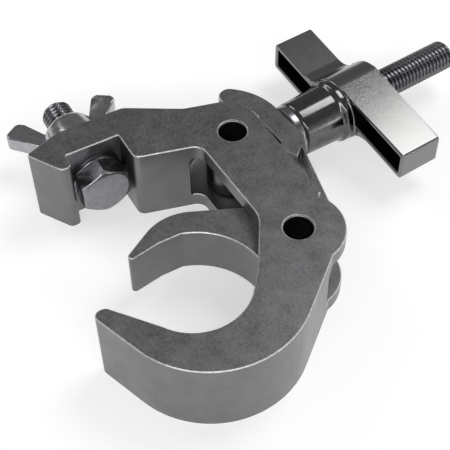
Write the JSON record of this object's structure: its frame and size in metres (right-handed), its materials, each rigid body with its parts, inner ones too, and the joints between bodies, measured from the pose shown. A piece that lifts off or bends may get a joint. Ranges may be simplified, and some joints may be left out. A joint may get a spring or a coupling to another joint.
{
  "type": "pipe clamp",
  "caption": "Stage lighting pipe clamp: slotted hook body, hinged jaw lever, swing bolt with T-handle, and a hexagon fixing bolt with wing nut.",
  "frame": {"origin": "centre of the tube seat's arc, halfway along the clamp's width", "axes": "+Z along the tube, +Y out of the mounting face along the fixing bolt, +X towards the handle; the part lies on its side as in the picture"},
  "size_m": [0.1809, 0.1454, 0.031],
  "materials": {
    "body_aluminium": "satin, sawn faces and drawn walls",
    "lever_aluminium": "satin, sawn faces and drawn walls",
    "polished_metal": "cast and polished",
    "zinc_steel": "bright zinc plated",
    "black_steel": "black oxide"
  },
  "bodies": {
    "clamp_body": {"body": "body_aluminium", "jaw_pivot_pin": "black_steel", "bolt_pivot_pin": "black_steel", "fixing_bolt": "zinc_steel", "head_washer": "zinc_steel"},
    "lever": {"jaw_lever": "lever_aluminium"},
    "swing": {"swing_bolt": "zinc_steel"},
    "thrust": {"thrust_washer": "zinc_steel"},
    "handle": {"barrel_nut": "polished_metal", "t_handle": "polished_metal"},
    "nut_seat": {"nut_washer": "zinc_steel"},
    "nut": {"wing_nut": "zinc_steel"}
  },
  "joints": [
    {"name": "bolt_swing", "type": "hinge", "parent": "clamp_body", "child": "swing", "pos_m": [0.0441, 0.0528, 0], "axis": [0, 0, 1], "range_deg": [0, 75.1]},
    {"name": "jaw_open", "type": "hinge", "parent": "clamp_body", "child": "lever", "pos_m": [0.0409, 0.0027, 0], "axis": [0, 0, -1], "range_deg": [0, 28.1]},
    {"name": "handle_travel", "type": "slide", "parent": "swing", "child": "thrust", "axis": [0.9962, 0.0872, 0], "range_m": [0, 0.0368]},
    {"name": "handle_spin", "type": "hinge", "parent": "thrust", "child": "handle", "pos_m": [0.0441, 0.0528, 0], "axis": [0.9962, 0.0872, 0], "range_deg": [0, 7560]},
    {"name": "nut_travel", "type": "slide", "parent": "clamp_body", "child": "nut_seat", "axis": [0, 1, 0], "range_m": [0, 0.0088]},
    {"name": "wing_nut_spin", "type": "hinge", "parent": "nut_seat", "child": "nut", "pos_m": [-0.0028, 0.0861, 0], "axis": [0, 1, 0], "range_deg": [0, 1800]}
  ],
  "couplings": [
    {"joint": "handle_travel", "follows": "handle_spin", "m_per_rad": 0.00027852},
    {"joint": "bolt_swing", "follows": "handle_spin", "ratio": 0.0099206},
    {"joint": "jaw_open", "follows": "handle_spin", "ratio": 0.0037037},
    {"joint": "nut_travel", "follows": "wing_nut_spin", "m_per_rad": 0.00027852}
  ]
}
